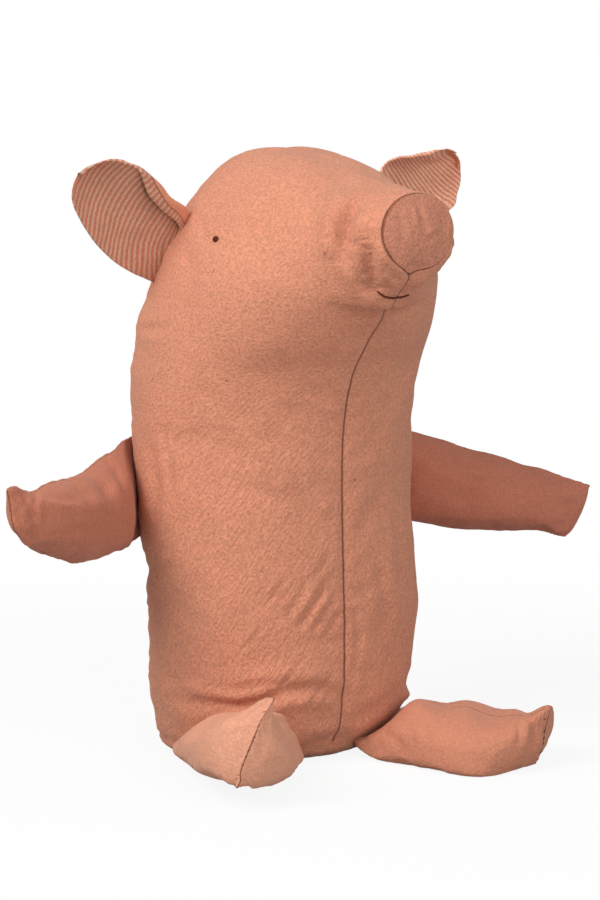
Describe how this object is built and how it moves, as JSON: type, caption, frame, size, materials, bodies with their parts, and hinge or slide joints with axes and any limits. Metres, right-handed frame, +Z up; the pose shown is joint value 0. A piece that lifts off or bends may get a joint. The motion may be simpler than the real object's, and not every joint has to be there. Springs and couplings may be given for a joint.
{
  "type": "plush pig",
  "caption": "Sitting stuffed cloth pig with a long column body, a round flat snout disc, cupped ears with a striped lining, and floppy arms and legs that swing on their sewn seams.",
  "frame": {"origin": "middle of the flat seat, on the floor it sits on", "axes": "+Z up, -Y the way the pig faces, +X the pig's left"},
  "size_m": [0.3535, 0.1813, 0.3003],
  "materials": {
    "washed_cloth": "crinkled washed cotton, matt",
    "disc_cloth": "the same cotton, a little darker, matt",
    "striped_lining": "narrow coral and beige stripes, matt",
    "dark_thread": "dark brown embroidery thread",
    "fibre_filling": "loose white fibre"
  },
  "bodies": {
    "body": {"body_panel_right": "washed_cloth", "body_panel_left": "washed_cloth", "back_panel": "washed_cloth", "base_panel": "washed_cloth", "snout_disc": "disc_cloth", "body_filling": "fibre_filling", "mouth_stitch": "dark_thread", "eye_right": "dark_thread", "eye_left": "dark_thread"},
    "arm_right": {"arm_right_front_panel": "washed_cloth", "arm_right_back_panel": "washed_cloth", "arm_right_filling": "fibre_filling"},
    "leg_right": {"leg_right_outer_panel": "washed_cloth", "leg_right_inner_panel": "washed_cloth", "leg_right_filling": "fibre_filling", "leg_right_closing_stitches": "dark_thread"},
    "ear_right": {"ear_right_outer": "washed_cloth", "ear_right_lining": "striped_lining"},
    "arm_left": {"arm_left_front_panel": "washed_cloth", "arm_left_back_panel": "washed_cloth", "arm_left_filling": "fibre_filling"},
    "leg_left": {"leg_left_outer_panel": "washed_cloth", "leg_left_inner_panel": "washed_cloth", "leg_left_filling": "fibre_filling", "leg_left_closing_stitches": "dark_thread"},
    "ear_left": {"ear_left_outer": "washed_cloth", "ear_left_lining": "striped_lining"}
  },
  "joints": [
    {"name": "arm_right_swing", "type": "hinge", "parent": "body", "child": "arm_right", "pos_m": [-0.0676, 0.02791, 0.13118], "axis": [-0.0132, 0.1221, 0.9924], "range_deg": [-75, 8], "stiffness_Nm_per_rad": 0.02},
    {"name": "arm_left_swing", "type": "hinge", "parent": "body", "child": "arm_left", "pos_m": [0.0673, 0.02954, 0.13994], "axis": [-0.0065, -0.1066, -0.9943], "range_deg": [-75, 8], "stiffness_Nm_per_rad": 0.02},
    {"name": "leg_right_lift", "type": "hinge", "parent": "body", "child": "leg_right", "pos_m": [-0.04625, -0.0355, 0.00805], "axis": [-0.7208, 0.6931, 0], "range_deg": [-70, 20], "stiffness_Nm_per_rad": 0.08},
    {"name": "leg_left_lift", "type": "hinge", "parent": "body", "child": "leg_left", "pos_m": [0.04155, -0.03905, 0.00805], "axis": [-0.7805, -0.6251, 0], "range_deg": [-70, 20], "stiffness_Nm_per_rad": 0.08},
    {"name": "ear_right_fold", "type": "hinge", "parent": "body", "child": "ear_right", "pos_m": [-0.05784, 0.0109, 0.25256], "axis": [0.225, -0.4637, 0.8569], "range_deg": [-30, 20], "stiffness_Nm_per_rad": 0.01},
    {"name": "ear_left_fold", "type": "hinge", "parent": "body", "child": "ear_left", "pos_m": [0.05776, 0.01033, 0.25287], "axis": [0.238, 0.4617, -0.8545], "range_deg": [-30, 20], "stiffness_Nm_per_rad": 0.01}
  ]
}
